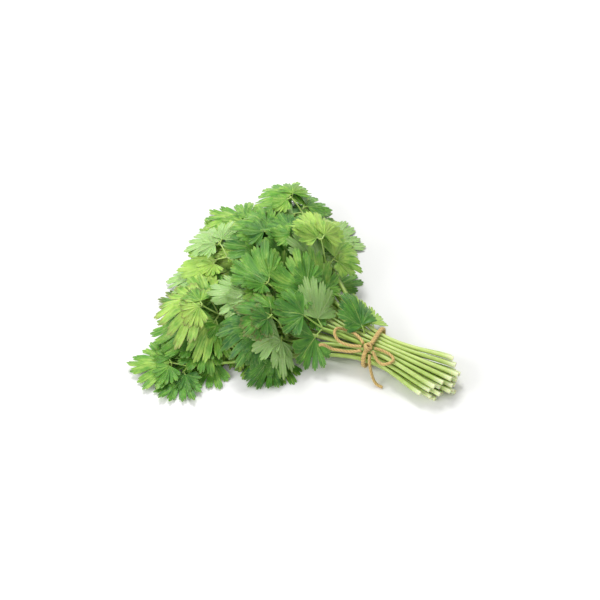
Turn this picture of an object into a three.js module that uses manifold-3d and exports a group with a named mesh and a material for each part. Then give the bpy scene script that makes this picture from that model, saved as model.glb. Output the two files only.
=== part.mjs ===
// A bunch of fresh coriander lying on a table: cut leafy stems, held together near their base by jute twine
// that is tied in a bow. Millimetres, +Z up, the table at z = 0. While it is built, the tie is at x = 0, the
// stems run towards +X to their cut ends and the foliage fans out towards -X. The last lines centre it.
import * as THREE from "three";
import { mergeVertices } from "three/addons/utils/BufferGeometryUtils.js";
import Module from "manifold-3d";

const wasm = await Module();
wasm.setup();

// Driving dimensions of the stems
const STEM_PITCH = 3.9; // between neighbouring stems inside the tie
const ROW_RISE = 3.4; // between rows of stems inside the tie
const STEM_RADIUS = { cut: 1.8, tie: 1.6, crown: 1.0 };
const CUT_LENGTH = 72; // from the tie to the cut end of the middle stems
const EDGE_SHORTER = 20; // how much shorter the outermost stems are there
const CUT_FLARE = 0.62; // how much wider the bundle is at its cut ends than in the tie, as a share
const CUT_RISE = 1.1; // how much further apart the rows are there, as a ratio
const FAN_RATE = 0.061; // how fast the stems spread on the leafy side
const FAN_LEAN = 0.13; // how far the whole fan leans towards +Y
const FAN_START = 30; // distance over which the spread and the lean set in

// Driving dimensions of the leaves
const BLADE_THICKNESS = 0.9;
const LEAFLET_LENGTH = { terminal: 37, lateral: 31 };
const RACHIS_LENGTH = 15; // from the lateral leaflets to the terminal one
const PETIOLULE_LENGTH = 9; // the little stalk of a lateral leaflet
const PETIOLULE_RADIUS = 0.7;
const ROOT = { depth: 1.6, size: 0.6, step: 0.11 }; // how the stalks of the leaflets begin inside the stem
const NECK_HALF_WIDTH = 0.8; // half the width of a blade where it joins its stalk
const LOW_STALK = 5; // the stalk of a low leaf

// Driving dimensions of the twine
const TWINE_RADIUS = 1.2;
const TURN_SPACING = 2.3; // between the two turns round the bundle
const TURN_CLEARANCE = 0.75; // between the bundle and the twine, which rounds its corners
const TURN_SQUARENESS = 3; // 2 is an ellipse, and more is squarer
const TURN_LIFT = 0.3; // of the lowest twine above the table, because the cut ends carry the bundle
const KNOT_TURN_RADIUS = 2.3;
const TWINE_STEP = 6; // between the sections of loose twine, at most

// The rows of stems inside the tie, from the lowest up: how many, how far out their leaves sit, how large the
// leaves are and how freely they rise and curl. The lowest leaves are pressed flat.
const ROWS = [
  { count: 6, near: 64, far: 130, size: 1, loft: 0 },
  { count: 7, near: 96, far: 146, size: 1, loft: 0.4 },
  { count: 8, near: 106, far: 152, size: 1, loft: 0.7 },
  { count: 7, near: 60, far: 142, size: 0.95, loft: 1 },
  { count: 6, near: 24, far: 94, size: 0.8, loft: 1.2 },
];
// Small leaves near the tie, on the outer stems: the row and place of their stem, how far from the tie they
// start, how far they turn off the stem, in radians, and their length
const LOW_LEAVES = [
  { row: 4, place: 5, start: 5, turn: -0.45, length: 31 },
  { row: 4, place: 3, start: 9, turn: -0.5, length: 29 },
];
const MIDDLE_ROW = (ROWS.length - 1) / 2;
const SEED = 80;
const LOW_KEY = 40; // of the low leaves' own draws

// How things lie on each other
const GAP = 0.7; // air kept between a leafy stem and what it lies on
const CLEAR_OF_TIE = 8; // nearer the tie than this, the stems only run side by side
const STATIONS = [0, 0.16, 0.34, 0.54, 0.77, 1]; // along a stem, as shares of the way from the tie to its crown
const STRIP = 1; // half the width of the strip in which a stalk meets what it crosses
const BRIDGE = { slope: 1, start: 4, reach: 20 }; // how a leaflet hangs from what holds it up

// Sizes that follow from the driving dimensions
const WIDEST = Math.max(...ROWS.map((row) => row.count));
const HALF_WIDTH = ((WIDEST - 1) / 2) * STEM_PITCH + STEM_RADIUS.tie;
const HALF_HEIGHT = MIDDLE_ROW * ROW_RISE + STEM_RADIUS.tie;
const TURN_HALF_WIDTH = HALF_WIDTH + TURN_CLEARANCE + TWINE_RADIUS;
const TURN_HALF_HEIGHT = HALF_HEIGHT + TURN_CLEARANCE + TWINE_RADIUS;
const TIE_HEIGHT = TURN_HALF_HEIGHT + TWINE_RADIUS + TURN_LIFT; // the bundle's middle above the table
const CUT_HEIGHT = CUT_RISE * MIDDLE_ROW * ROW_RISE + STEM_RADIUS.cut; // of the middle row's cut ends
const KNOT = new THREE.Vector3(0, -10, TIE_HEIGHT + TURN_HALF_HEIGHT + 1);

const DEGREE = Math.PI / 180;
const UP = new THREE.Vector3(0, 0, 1);
const LEAF = new THREE.MeshStandardMaterial({ color: 0x5fa32e, roughness: 0.55, metalness: 0 });
const TWINE = new THREE.MeshStandardMaterial({ color: 0xb98a55, roughness: 0.9, metalness: 0 });

const mix = (a, b, t) => a + (b - a) * t;
const smooth = (t) => t * t * (3 - 2 * t);
const clamp = (v, low, high) => Math.min(high, Math.max(low, v));

// A repeatable draw from 0 to 1 for one stem and one purpose: a small integer hash.
function chance(stem, purpose) {
  let h = Math.imul(stem + SEED, 0x9e3779b1) ^ Math.imul(purpose + 1, 0x85ebca6b);
  h = Math.imul(h ^ (h >>> 16), 0x85ebca6b);
  h = Math.imul(h ^ (h >>> 13), 0xc2b2ae35);
  return ((h ^ (h >>> 16)) >>> 0) / 2 ** 32;
}
const between = (stem, purpose, low, high) => mix(low, high, chance(stem, purpose));

// The pile: the height of what already lies on the table, in square cells of 1 mm. Each stem is laid on it with
// its leaflets, and then belongs to it.
const PILE = { x0: -260, y0: -180, nx: 360, ny: 360 };
const pileTop = new Float64Array(PILE.nx * PILE.ny).fill(-GAP);
const cellOf = (x, y) => [
  clamp(Math.floor(x - PILE.x0), 1, PILE.nx - 2),
  clamp(Math.floor(y - PILE.y0), 1, PILE.ny - 2),
];

// Calls visit(cell, height) at the corners of a triangle and at the centre of each cell under it.
function overCells(a, b, c, visit) {
  for (const p of [a, b, c]) {
    const [i, j] = cellOf(p.x, p.y);
    visit(j * PILE.nx + i, p.z);
  }
  const area = (b.x - a.x) * (c.y - a.y) - (c.x - a.x) * (b.y - a.y);
  if (Math.abs(area) < 1e-9) return;
  const [i0, j0] = cellOf(Math.min(a.x, b.x, c.x), Math.min(a.y, b.y, c.y));
  const [i1, j1] = cellOf(Math.max(a.x, b.x, c.x), Math.max(a.y, b.y, c.y));
  for (let j = j0; j <= j1; j++)
    for (let i = i0; i <= i1; i++) {
      const x = PILE.x0 + i + 0.5;
      const y = PILE.y0 + j + 0.5;
      const wb = ((x - a.x) * (c.y - a.y) - (c.x - a.x) * (y - a.y)) / area;
      const wc = ((b.x - a.x) * (y - a.y) - (x - a.x) * (b.y - a.y)) / area;
      if (wb < 0 || wc < 0 || wb + wc > 1) continue;
      visit(j * PILE.nx + i, a.z + wb * (b.z - a.z) + wc * (c.z - a.z));
    }
}

// Calls visit(cell, distance) for each cell whose centre is within a radius of a point.
function cellsNear(x, y, radius, visit) {
  const [i0, j0] = cellOf(x - radius, y - radius);
  const [i1, j1] = cellOf(x + radius, y + radius);
  for (let j = j0; j <= j1; j++)
    for (let i = i0; i <= i1; i++) {
      const distance = Math.hypot(PILE.x0 + i + 0.5 - x, PILE.y0 + j + 0.5 - y);
      if (distance <= radius) visit(j * PILE.nx + i, distance);
    }
}

// The highest point of the pile within a radius of a point.
function pileNear(x, y, radius) {
  let top = -GAP;
  cellsNear(x, y, radius, (cell) => {
    top = Math.max(top, pileTop[cell]);
  });
  return top;
}

// Adds a point of a stalk to the pile.
function addStalk(p, radius) {
  cellsNear(p.x, p.y, STRIP, (cell) => {
    pileTop[cell] = Math.max(pileTop[cell], p.z + radius);
  });
}

// Adds a triangle of a blade to the pile, one cell wider than it is.
function addTriangle(a, b, c) {
  overCells(a, b, c, (cell, z) => {
    for (const dj of [-PILE.nx, 0, PILE.nx])
      for (const di of [-1, 0, 1]) pileTop[cell + dj + di] = Math.max(pileTop[cell + dj + di], z);
  });
}

// The stems, row by row from the table up. In the rows from the middle up the longest stems are laid first, so
// that the short ones end on top. Golden steps keep neighbours from having their leaves at one distance.
function layOut() {
  const golden = 0.618034;
  const rowStep = 0.37;
  const play = 0.15;
  let id = 0;
  return ROWS.map((row, r) => {
    const stems = [];
    for (let c = 0; c < row.count; c++, id++) {
      const across = (c - (row.count - 1) / 2) * STEM_PITCH;
      const up = (r - MIDDLE_ROW) * ROW_RISE;
      const share = (c * golden + r * rowStep + play * chance(id, 0)) % 1;
      const low = LOW_LEAVES.filter((leaf) => leaf.row === r && leaf.place === c);
      stems.push({ id, row, r, across, up, low, reach: mix(row.near, row.far, share) });
    }
    const order = r < MIDDLE_ROW ? 1 : -1;
    return stems.sort((a, b) => order * (a.reach - b.reach));
  });
}

// Where a stem runs in plan on the leafy side, s away from the tie along the bunch. Each keeps its share of the
// fan, so none crosses its neighbour.
function plan(stem, s) {
  const fan = (s * s) / (s + FAN_START);
  return new THREE.Vector3(-s, stem.across * (1 + FAN_RATE * fan) + FAN_LEAN * fan, 0);
}

// The heading of a stem in plan, as an angle from +X.
function headingAt(stem, s) {
  const ahead = plan(stem, s + 1);
  const behind = plan(stem, s - 1);
  return Math.atan2(ahead.y - behind.y, ahead.x - behind.x);
}

const stemRadius = (share) => mix(STEM_RADIUS.tie, STEM_RADIUS.crown, share);

// The heights of a stem at its stations. It runs in an easy curve from the tie to the pile under its crown.
// Where the pile is in the way of a stretch, both its ends rise, the nearer one more. The tie's end stays.
function heightsOf(stem, end) {
  const crown = plan(stem, end);
  const goal = pileNear(crown.x, crown.y, 3) + GAP + STEM_RADIUS.crown;
  const heights = STATIONS.map((t) => mix(TIE_HEIGHT + stem.up, goal, smooth(t)));
  for (let pass = 0; pass < 6; pass++)
    for (let k = 0; k + 1 < STATIONS.length; k++) {
      const [from, to] = [STATIONS[k] * end, STATIONS[k + 1] * end];
      const steps = Math.ceil(to - from);
      for (let m = 0; m <= steps; m++) {
        const t = m / steps;
        const s = mix(from, to, t);
        if (s < CLEAR_OF_TIE) continue;
        const p = plan(stem, from).lerp(plan(stem, to), t);
        const need = pileNear(p.x, p.y, STRIP) + GAP + stemRadius(s / end);
        const short = need - mix(heights[k], heights[k + 1], t);
        if (short <= 0) continue;
        const [near, far] = k === 0 ? [0, t] : [1 - t, t];
        const share = short / (near * (1 - t) + far * t);
        heights[k] += share * near;
        heights[k + 1] += share * far;
      }
    }
  return heights;
}

// The cut end of a stem: the ends fan out, and the lowest lie on the table.
function cutEnd(stem) {
  const shorter = EDGE_SHORTER * (stem.across / HALF_WIDTH) ** 2;
  const length = CUT_LENGTH - shorter + between(stem.id, 1, -4, 3);
  const across = stem.across * (1 + CUT_FLARE) + between(stem.id, 2, -0.7, 0.7);
  return new THREE.Vector3(length, across, CUT_HEIGHT + stem.up * CUT_RISE);
}

// The outline of a leaflet, as [angle from the midrib in degrees, distance from the base as a share of its
// length, how much shallower the cut there may be]: three lobes, each with three teeth. Only one half is
// listed, and the other mirrors it.
const HALF_OUTLINE = [
  [8, 0.84, 0.1], [16, 0.92, 0], [27, 0.52, 0.32], [38, 0.84, 0], [48, 0.7, 0.14], [58, 0.88, 0],
  [69, 0.62, 0.16], [80, 0.7, 0], [99, 0.34, 0.12],
];
const TIP = [0, 1, 0];
const SINUS = 2; // the place in the half outline of the deep cut between two lobes
const LOBE_HEARTS = [[0, 0.56, 0], [56, 0.46, 0], [-56, 0.46, 0]];

// A point of a leaflet from its distances along and across it, with a height.
function leafletCorner({ base, heading }, along, across, height) {
  const x = base.x + along * Math.cos(heading) - across * Math.sin(heading);
  const y = base.y + along * Math.sin(heading) + across * Math.cos(heading);
  return new THREE.Vector3(x, y, height);
}

// A point of a leaflet from an angle off its midrib and a share of the way to its rim, with its own height: it
// rises towards the tip, curls up at the sides and waves towards the rim.
function leafletPoint(leaflet, [degrees, distance, shallower]) {
  const angle = degrees * leaflet.spread * DEGREE;
  const share = distance + shallower * leaflet.shallow;
  const u = share * Math.cos(angle);
  const v = share * Math.sin(angle) * leaflet.width;
  const wave = leaflet.wave * share * share * (1 + Math.sin(4 * angle + leaflet.phase));
  const own = leaflet.rise * Math.max(u, 0) ** 2 + leaflet.curl * v * v + wave;
  return leafletCorner(leaflet, u * leaflet.length, v * leaflet.length, own * leaflet.length);
}

// The corners of a blade, and its triangles: a fan round the heart of each lobe. The first two corners are the
// left and right of its base, where it joins its stalk, and the rim runs from the right round to the left.
function bladeFace(leaflet) {
  const half = HALF_OUTLINE.length;
  const otherHalf = HALF_OUTLINE.map(([angle, ...rest]) => [-angle, ...rest]).reverse();
  const outline = [...otherHalf, TIP, ...HALF_OUTLINE];
  const base = [NECK_HALF_WIDTH, -NECK_HALF_WIDTH].map((across) => leafletCorner(leaflet, 0, across, 0));
  const points = [...base, ...[...outline, ...LOBE_HEARTS].map((place) => leafletPoint(leaflet, place))];
  const last = outline.length + 1;
  const rightSinus = half + 1 - SINUS;
  const leftSinus = half + 3 + SINUS;
  const [middle, left, right] = [last + 1, last + 2, last + 3];
  const lobes = [
    { heart: right, start: 2, end: rightSinus, from: 1, to: 1 },
    { heart: middle, start: rightSinus, end: leftSinus, from: 1, to: 0 },
    { heart: left, start: leftSinus, end: last, from: 0, to: 0 },
  ];
  const triangles = [[middle, 0, 1]];
  for (const { heart, start, end, from, to } of lobes) {
    triangles.push([heart, from, start]);
    for (let k = start; k < end; k++) triangles.push([heart, k, k + 1]);
    triangles.push([heart, end, to]);
  }
  return { points, triangles, rim: [1, ...outline.map((_, k) => k + 2), 0] };
}

// How high a leaflet lies at a point: it bridges the pile, held up by whatever stands highest round the point.
function bridge(x, y) {
  let height = 0;
  cellsNear(x, y, BRIDGE.reach, (cell, distance) => {
    const drop = BRIDGE.slope * (Math.hypot(distance, BRIDGE.start) - BRIDGE.start);
    height = Math.max(height, pileTop[cell] + GAP - drop);
  });
  return height;
}

// A point of a leaflet's stalk, which runs from the crown over its knee to the neck.
function stalkPoint({ crown, knee, neck }, t) {
  return t < 0.5 ? crown.clone().lerp(knee, 2 * t) : knee.clone().lerp(neck, 2 * t - 1);
}

// Lays a leaflet on the pile. Its corners bridge the pile, the corners of a triangle that still touches it rise
// and the stalk gets a knee that clears the pile. Then the leaflet belongs to the pile.
function lay(leaflet) {
  const { points, triangles, rim } = bladeFace(leaflet);
  for (const p of points) p.z += bridge(p.x, p.y);
  for (const corners of triangles) {
    const [a, b, c] = corners.map((k) => points[k]);
    let short = 0;
    overCells(a, b, c, (cell, z) => {
      short = Math.max(short, pileTop[cell] + GAP - z);
    });
    for (const p of [a, b, c]) p.z += short;
  }
  const top = points.map((p) => p.clone().setZ(p.z + BLADE_THICKNESS));
  const neck = top[0].clone().add(points[1]).multiplyScalar(0.5);
  const knee = leaflet.crown.clone().lerp(neck, 0.5);
  const laid = { ...leaflet, top, bottom: points, triangles, rim, neck, knee };
  for (let t = 0.3; t < 0.8; t += 0.05) {
    const p = stalkPoint(laid, t);
    const short = pileNear(p.x, p.y, STRIP) + GAP + PETIOLULE_RADIUS - p.z;
    if (short > 0) knee.z += short / (1 - Math.abs(2 * t - 1));
  }
  for (let t = 0.2; t < 1; t += 0.05) addStalk(stalkPoint(laid, t), PETIOLULE_RADIUS);
  for (const [a, b, c] of triangles) addTriangle(top[a], top[b], top[c]);
  return laid;
}

// A leaflet of a stem. The key is for its own draws, and reach is the length of its stalk.
function leafletOf({ id, row }, key, crown, heading, reach, length, spread) {
  return {
    crown,
    base: crown.clone().add(new THREE.Vector3(reach * Math.cos(heading), reach * Math.sin(heading), 0)),
    heading,
    length,
    spread,
    width: between(id, key + 3, 0.92, 1.08),
    shallow: chance(id, key + 8),
    rise: row.loft * between(id, key + 4, -0.06, 0.12),
    curl: row.loft * between(id, key + 5, -0.1, 0.2),
    wave: row.loft * between(id, key + 6, 0.02, 0.08),
    phase: between(id, key + 7, 0, 2 * Math.PI),
  };
}

// One leaflet of a crown: side is 1 for the left one, -1 for the right one and 0 for the terminal one.
function crownLeaflet(stem, side, crown, heading) {
  const kind = side === 0 ? "terminal" : "lateral";
  const key = 10 * (side + 2);
  const way = heading + side * between(stem.id, key, 0.85, 1.1);
  const reach = side === 0 ? RACHIS_LENGTH : PETIOLULE_LENGTH * between(stem.id, key + 1, 0.8, 1.3);
  const length = stem.row.size * LEAFLET_LENGTH[kind] * between(stem.id, key + 2, 0.88, 1.12);
  return leafletOf(stem, key, crown, way, reach, length, side === 0 ? 0.9 : 1);
}

// The point of a stem's line that is s away from the tie.
function onLine(line, s) {
  const k = line.findIndex((p) => -p.x > s) - 1;
  return line[k].clone().lerp(line[k + 1], (s + line[k].x) / (line[k].x - line[k + 1].x));
}

function geometryOf(points, index) {
  const geometry = new THREE.BufferGeometry();
  const numbers = points.flatMap((p) => p.toArray());
  geometry.setAttribute("position", new THREE.Float32BufferAttribute(numbers, 3));
  geometry.setIndex(index);
  return geometry;
}

// A closed blade with its four-sided stalk, which begins small inside the stem and ends in the blade's base.
function leafletGeometry({ root, crown, knee, neck, top, bottom, triangles, rim }) {
  const n = top.length;
  const left = UP.clone().cross(neck.clone().sub(crown)).normalize().multiplyScalar(PETIOLULE_RADIUS);
  const up = UP.clone().multiplyScalar(PETIOLULE_RADIUS);
  const rings = [[root, ROOT.size], [knee, 1]].map(([middle, size]) => {
    const corner = (l, u) => middle.clone().addScaledVector(left, l * size).addScaledVector(up, u * size);
    return [corner(1, 1), corner(-1, 1), corner(-1, -1), corner(1, -1)];
  });
  const [first, second] = rings.map((_, k) => [0, 1, 2, 3].map((c) => 2 * n + 4 * k + c));
  const base = [0, 1, n + 1, n];
  const index = [];
  for (const [a, b, c] of triangles) index.push(a, b, c, n + a, n + c, n + b);
  for (let k = 0; k + 1 < rim.length; k++) {
    const [a, b] = [rim[k], rim[k + 1]];
    index.push(a, n + a, b, b, n + a, n + b);
  }
  for (const [ring, next] of [[first, second], [second, base]])
    for (let c = 0; c < 4; c++) {
      const d = (c + 1) % 4;
      index.push(ring[c], ring[d], next[d], ring[c], next[d], next[c]);
    }
  const [a, b, c, d] = first;
  index.push(a, d, c, a, c, b);
  return geometryOf([...top, ...bottom, ...rings.flat()], index);
}

// A five-sided stem through a list of points, with a radius at each, closed at both ends, with an edge lowest.
function stemGeometry(points, radii) {
  const sides = 5;
  const corners = points.flatMap((p, k) => {
    const next = points[Math.min(k + 1, points.length - 1)];
    const along = next.clone().sub(points[Math.max(k - 1, 0)]).normalize();
    const side = UP.clone().cross(along).normalize();
    const up = along.clone().cross(side);
    return Array.from({ length: sides }, (_, s) => {
      const angle = (s / sides - 0.25) * 2 * Math.PI;
      const out = side.clone().multiplyScalar(Math.cos(angle)).addScaledVector(up, Math.sin(angle));
      return p.clone().addScaledVector(out, radii[k]);
    });
  });
  const index = [];
  for (let k = 0; k + 1 < points.length; k++)
    for (let s = 0; s < sides; s++) {
      const a = k * sides + s;
      const b = k * sides + ((s + 1) % sides);
      index.push(a, b, a + sides, b, b + sides, a + sides);
    }
  const last = (points.length - 1) * sides;
  for (let s = 1; s + 1 < sides; s++) index.push(0, s + 1, s, last, last + s, last + s + 1);
  return geometryOf(corners, index);
}

function solidOf(geometry) {
  const bare = geometry.clone();
  bare.deleteAttribute("normal");
  bare.deleteAttribute("uv");
  const merged = mergeVertices(bare, 1e-4);
  const mesh = new wasm.Mesh({
    numProp: 3,
    vertProperties: new Float32Array(merged.attributes.position.array),
    triVerts: new Uint32Array(merged.index.array),
  });
  return new wasm.Manifold(mesh);
}

function meshOf(name, solid, material) {
  const made = solid.getMesh();
  const geometry = new THREE.BufferGeometry();
  geometry.setAttribute("position", new THREE.BufferAttribute(new Float32Array(made.vertProperties), 3));
  geometry.setIndex(new THREE.BufferAttribute(new Uint32Array(made.triVerts), 1));
  geometry.computeVertexNormals();
  const mesh = new THREE.Mesh(geometry, material);
  mesh.name = name;
  return mesh;
}

// Lays a stem, from its cut end to its crown, on the pile, with the three leaflets of its crown.
function layStem(stem) {
  const end = stem.reach * -Math.cos(headingAt(stem, stem.reach));
  const heights = heightsOf(stem, end);
  const line = [cutEnd(stem), ...STATIONS.map((t, k) => plan(stem, t * end).setZ(heights[k]))];
  const radii = [STEM_RADIUS.cut, ...STATIONS.map(stemRadius)];
  for (let k = 1; k + 1 < line.length; k++)
    for (let t = 0; t <= 1; t += 1 / 64) {
      const p = line[k].clone().lerp(line[k + 1], t);
      if (p.x < 0) addStalk(p, mix(radii[k], radii[k + 1], t));
    }
  const crown = line[line.length - 1];
  const inside = line[line.length - 2].clone().sub(crown).setLength(ROOT.depth).add(crown);
  const play = 0.2 + 0.08 * stem.r; // in radians: the upper leaves turn more freely
  const heading = headingAt(stem, end) + between(stem.id, 3, -play, play);
  const leaflets = [1, -1, 0].map((side) => {
    const root = inside.clone().addScaledVector(UP, ROOT.step * side);
    return { root, ...lay(crownLeaflet(stem, side, crown, heading)) };
  });
  return { stem, line, radii, leaflets };
}

// Lays the low leaves of a stem, after the whole row that it is in.
function layLowLeaves({ stem, line, leaflets }) {
  for (const { start, turn, length } of stem.low) {
    const root = onLine(line, start);
    const heading = headingAt(stem, start) + turn;
    leaflets.push({ root, ...lay(leafletOf(stem, LOW_KEY, root, heading, LOW_STALK, length, 1)) });
  }
}

function leafyStem({ line, radii, leaflets }) {
  return wasm.Manifold.union([stemGeometry(line, radii), ...leaflets.map(leafletGeometry)].map(solidOf));
}

// A point beside the line of a turn of twine round the bundle, in the plane across it: a squarish ellipse.
function besideTurn(angle, out) {
  const n = TURN_SQUARENESS;
  const [c, s] = [Math.cos(angle), Math.sin(angle)];
  const radius = (Math.abs(c / TURN_HALF_WIDTH) ** n + Math.abs(s / TURN_HALF_HEIGHT) ** n) ** (-1 / n);
  const normal = new THREE.Vector2(
    (Math.sign(c) * Math.abs(c) ** (n - 1)) / TURN_HALF_WIDTH ** n,
    (Math.sign(s) * Math.abs(s) ** (n - 1)) / TURN_HALF_HEIGHT ** n,
  ).normalize();
  return new THREE.Vector2(c, s).multiplyScalar(radius).addScaledVector(normal, out);
}

// A turn of twine round the bundle: a plain ring, bent to the bundle's shape.
function turnOfTwine(x) {
  const plain = 10;
  const ring = new THREE.TorusGeometry(plain, TWINE_RADIUS, 6, 24);
  const place = ring.attributes.position;
  for (let k = 0; k < place.count; k++) {
    const out = Math.hypot(place.getX(k), place.getY(k)) - plain;
    const p = besideTurn(Math.atan2(place.getY(k), place.getX(k)), out);
    place.setXYZ(k, x + place.getZ(k), p.x, TIE_HEIGHT + p.y);
  }
  return ring;
}

// One of the two small turns that make the knot.
function knotTurn(tilt, swing) {
  const ring = new THREE.TorusGeometry(KNOT_TURN_RADIUS, TWINE_RADIUS, 6, 9);
  ring.rotateX(tilt * DEGREE);
  ring.rotateZ(swing * DEGREE);
  ring.translate(KNOT.x, KNOT.y, KNOT.z);
  return ring;
}

function twineTie() {
  const turns = [turnOfTwine(-TURN_SPACING / 2), turnOfTwine(TURN_SPACING / 2)];
  return wasm.Manifold.union([...turns, knotTurn(35, 25), knotTurn(-35, -25)].map(solidOf));
}

// The loose twine of the bow: where the middle of each piece runs, from the knot outwards.
const LOOSE_TWINE = {
  twine_loop_left: [
    [-4.9, -8.6, 23.4], [-7.4, -6.4, 23.1], [-11, -4.2, 22.9], [-15, -2.6, 22.6], [-19, -1.8, 22.4],
    [-23, -2.4, 22.7], [-26.6, -4.2, 24.4], [-29, -7.2, 26.3], [-29, -10.8, 26.4], [-26.8, -13.6, 24.8],
    [-23.2, -14.8, 22.6], [-19.2, -14.9, 21.9], [-15.2, -14.4, 21.7], [-11.4, -13.6, 22], [-7.9, -12.6, 22.6],
    [-4.9, -11.7, 23.1],
  ],
  twine_loop_right: [
    [4.9, -8.8, 23.2], [7.6, -7.8, 22.6], [11, -7.2, 22.1], [14.5, -7.1, 21.8], [18, -7.6, 21.6],
    [21, -8.9, 21.5], [22.7, -11.3, 21.4], [21.8, -14.2, 21.2], [19, -16.2, 19.8], [15.6, -16.8, 18.6],
    [12.4, -16.1, 18.8], [9.4, -14.8, 20.2], [6.9, -13.2, 21.8], [4.9, -11.9, 22.9],
  ],
  twine_tail_left: [
    [-3.9, -14.4, 21.6], [-6.2, -15.3, 20.4], [-8.6, -16, 19.3], [-11, -16.7, 18.4], [-13.4, -17.4, 17.9],
    [-15.8, -18.1, 17.7], [-18.2, -18.8, 17.7], [-20.6, -19.5, 17.7], [-23, -20.2, 17.7], [-25.2, -20.9, 17.9],
    [-27.4, -21.7, 19], [-29.6, -22.6, 20.7], [-31.6, -23.6, 22.2], [-33.4, -24.8, 22.8],
    [-34.8, -26.2, 22.7],
  ],
  twine_tail_right: [
    [4.1, -14.9, 21.4], [4.6, -16.4, 20.2], [5.3, -17.9, 18.6], [6.2, -19.3, 16.8], [7.2, -20.5, 14.9],
    [8.3, -21.5, 12.8], [9.3, -22.3, 10.7], [10.3, -22.9, 8.6], [11.3, -23.4, 6.6], [12.4, -23.8, 4.8],
    [13.7, -24.2, 3.2], [15.2, -24.5, 2], [16.9, -24.7, 1.4], [18.8, -24.8, 1.3], [20.6, -24.8, 1.3],
  ],
};

// A loose piece of twine, with eight sides.
function looseTwine(points) {
  const path = new THREE.CatmullRomCurve3(points.map((p) => new THREE.Vector3(...p)));
  const corners = Array.from({ length: 8 }, (_, k) => {
    const angle = k * 45 * DEGREE;
    return new THREE.Vector2(TWINE_RADIUS * Math.cos(angle), TWINE_RADIUS * Math.sin(angle));
  });
  const steps = Math.ceil(path.getLength() / TWINE_STEP);
  return new THREE.ExtrudeGeometry(new THREE.Shape(corners), { extrudePath: path, steps });
}

const bunch = new THREE.Group();
const laidStems = layOut().flatMap((row) => {
  const laidRow = row.map(layStem);
  laidRow.forEach(layLowLeaves);
  return laidRow;
});
laidStems.forEach((laid, k) => {
  bunch.add(meshOf("leafy_stem_" + String(k + 1).padStart(2, "0"), leafyStem(laid), LEAF));
});
bunch.add(meshOf("twine_tie", twineTie(), TWINE));

// The origin is on the table, under the middle of the stems and the tie. The loose twine doesn't count for it.
const extent = new THREE.Box3().setFromObject(bunch);
const middle = extent.getCenter(new THREE.Vector3());
bunch.position.set(-middle.x, -middle.y, -extent.min.z);

for (const [name, points] of Object.entries(LOOSE_TWINE))
  bunch.add(meshOf(name, solidOf(looseTwine(points)), TWINE));

export default bunch;
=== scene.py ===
"""Looks of a bunch of fresh coriander that is tied with jute twine in a bow.

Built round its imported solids, in metres, +Z up and the table at z = 0. Shapes are laid out in
millimetres from the middle of the tie, as the solids are, and in_frame turns them into metres.
"""

import math

import bpy
import numpy as np
from mathutils import Matrix


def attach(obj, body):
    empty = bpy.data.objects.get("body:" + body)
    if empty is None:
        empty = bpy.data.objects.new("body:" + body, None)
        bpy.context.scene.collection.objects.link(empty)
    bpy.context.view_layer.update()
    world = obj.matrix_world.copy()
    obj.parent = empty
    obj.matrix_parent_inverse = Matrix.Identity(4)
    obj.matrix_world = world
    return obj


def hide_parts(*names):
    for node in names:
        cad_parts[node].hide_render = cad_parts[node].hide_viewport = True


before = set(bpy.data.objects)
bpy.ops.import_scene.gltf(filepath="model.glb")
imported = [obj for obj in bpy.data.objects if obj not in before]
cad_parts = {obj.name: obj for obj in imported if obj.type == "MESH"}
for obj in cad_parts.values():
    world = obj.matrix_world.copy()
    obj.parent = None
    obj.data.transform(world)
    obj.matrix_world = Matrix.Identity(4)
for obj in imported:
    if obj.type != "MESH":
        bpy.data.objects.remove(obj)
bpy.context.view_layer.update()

# The camera looks down on the bunch from its near side, from far enough away for hardly any
# perspective, as the photograph does. The knot is at (368, 347) in its picture of 600 pixels.
MM = 0.001
MM_PER_PIXEL = 0.78
PICTURE = 600
KNOT_PIXEL = (368, 347)
AZIMUTH = math.radians(28)
ELEVATION = math.radians(50)
CAMERA_DISTANCE = 2.0


def node_corners(name):
    """The corners of one of the solids, in the frame's metres."""
    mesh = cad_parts[name].data
    corners = np.empty(3 * len(mesh.vertices), np.float32)
    mesh.vertices.foreach_get("co", corners)
    return corners.reshape(-1, 3).astype(float)


# The turns of twine are even about the middle of the tie, and low down there is nothing else of it.
LOW_IN_TIE = 5
tie_corners = node_corners("twine_tie")
turn_corners = tie_corners[tie_corners[:, 2] < LOW_IN_TIE * MM]
TIE = np.array([
    (turn_corners[:, 0].min() + turn_corners[:, 0].max()) / 2,
    (tie_corners[:, 1].min() + tie_corners[:, 1].max()) / 2,
    0,
])
KNOT = np.array([0, -10, 23.2])


def in_frame(points):
    """Millimetres from the tie as metres in the frame."""
    return np.asarray(points, float) * MM + TIE


camera_right = np.array([math.cos(AZIMUTH), math.sin(AZIMUTH), 0])
camera_back = np.array([
    math.sin(AZIMUTH) * math.cos(ELEVATION),
    -math.cos(AZIMUTH) * math.cos(ELEVATION),
    math.sin(ELEVATION),
])
camera_up = np.cross(camera_back, camera_right)
aim = in_frame(KNOT) + MM * MM_PER_PIXEL * (
    (PICTURE / 2 - KNOT_PIXEL[0]) * camera_right + (KNOT_PIXEL[1] - PICTURE / 2) * camera_up
)
camera = bpy.data.objects.new("camera", bpy.data.cameras.new("camera"))
camera.data.sensor_fit = "HORIZONTAL"
camera.data.angle = 2 * math.atan(PICTURE * MM_PER_PIXEL * MM / 2 / CAMERA_DISTANCE)
camera.data.clip_start = 0.1
camera.data.clip_end = 20
place = Matrix.Identity(4)
for column, axis in enumerate([camera_right, camera_up, camera_back, aim + CAMERA_DISTANCE * camera_back]):
    for row in range(3):
        place[row][column] = axis[row]
camera.matrix_world = place
bpy.context.collection.objects.link(camera)
bpy.context.scene.camera = camera


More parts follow.
